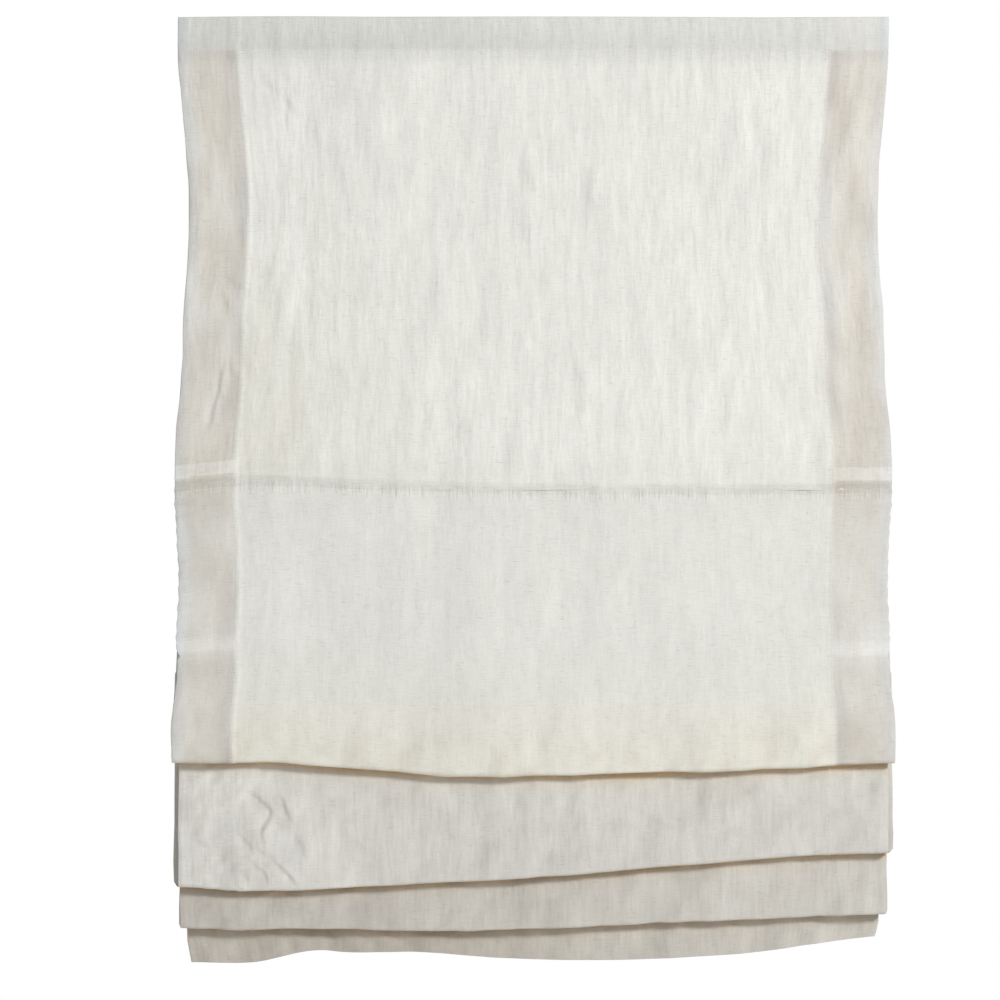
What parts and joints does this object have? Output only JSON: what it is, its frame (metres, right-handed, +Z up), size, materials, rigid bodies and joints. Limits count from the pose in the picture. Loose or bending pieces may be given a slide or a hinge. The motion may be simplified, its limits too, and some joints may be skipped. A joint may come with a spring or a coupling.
{
  "type": "roman blind",
  "caption": "Linen roman blind drawn up in soft overlapping folds beneath a flat panel, on a head rail with shaft, spools, lift cords, rods and swivel brackets.",
  "frame": {"origin": "middle of the top fixing plane, halfway between the two bracket screw holes", "axes": "+X to the right of someone facing the blind from the room, +Y away from them to the window, +Z up; the cloth's face looks along -Y"},
  "size_m": [0.65, 0.0753, 0.865],
  "materials": {
    "linen": "matt linen weave",
    "aluminium": "white powder coat",
    "hook_tape": "moulded hooks",
    "loop_tape": "soft loops",
    "white_plastic": "moulded",
    "grey_plastic": "moulded",
    "shaft_steel": "drawn",
    "spring_steel": "wound wire",
    "cord": "braided",
    "clear_plastic": "milky",
    "thread": "spun",
    "rod": "glass fibre rod",
    "zinc_steel": "zinc plated"
  },
  "bodies": {
    "frame": {"cloth_panel": "linen", "head_rail": "aluminium", "hook_tape": "hook_tape", "loop_tape": "loop_tape", "rail_end_cap": "white_plastic", "drive_housing": "white_plastic", "drive_cover": "white_plastic", "spool_cradle_left": "white_plastic", "spool_cradle_centre": "white_plastic", "spool_cradle_right": "white_plastic", "brake_spring": "spring_steel", "lift_cord_left": "cord", "lift_cord_centre": "cord", "lift_cord_right": "cord", "cord_ring_left_1": "clear_plastic", "cord_ring_left_2": "clear_plastic", "cord_ring_left_3": "clear_plastic", "cord_ring_centre_1": "clear_plastic", "cord_ring_centre_2": "clear_plastic", "cord_ring_centre_3": "clear_plastic", "cord_ring_right_1": "clear_plastic", "cord_ring_right_2": "clear_plastic", "cord_ring_right_3": "clear_plastic", "cord_adjuster_left": "clear_plastic", "cord_adjuster_centre": "clear_plastic", "cord_adjuster_right": "clear_plastic", "ring_tacks": "thread", "support_rod_1": "rod", "support_rod_2": "rod", "support_rod_3": "rod", "support_rod_4": "rod", "bracket_plate_left": "zinc_steel", "bracket_plate_right": "zinc_steel", "cam_pivot_left": "zinc_steel", "cam_pivot_right": "zinc_steel", "cover_screws": "zinc_steel"},
    "shaft": {"drive_shaft": "shaft_steel", "shaft_bush": "grey_plastic", "chain_wheel": "grey_plastic", "cord_spool_left": "grey_plastic", "cord_spool_centre": "grey_plastic", "cord_spool_right": "grey_plastic", "cord_winding_left": "cord", "cord_winding_centre": "cord", "cord_winding_right": "cord"},
    "cam_left": {"bracket_cam_left": "white_plastic"},
    "cam_right": {"bracket_cam_right": "white_plastic"}
  },
  "joints": [
    {"name": "shaft_spin", "type": "hinge", "parent": "frame", "child": "shaft", "pos_m": [0, 0, -0.018], "axis": [1, 0, 0], "range_deg": [-3960, 7200]},
    {"name": "cam_left_swivel", "type": "hinge", "parent": "frame", "child": "cam_left", "pos_m": [-0.232, 0, 0], "axis": [0, 0, -1], "range_deg": [0, 90]},
    {"name": "cam_right_swivel", "type": "hinge", "parent": "frame", "child": "cam_right", "pos_m": [0.268, 0, 0], "axis": [0, 0, -1], "range_deg": [0, 90]}
  ]
}
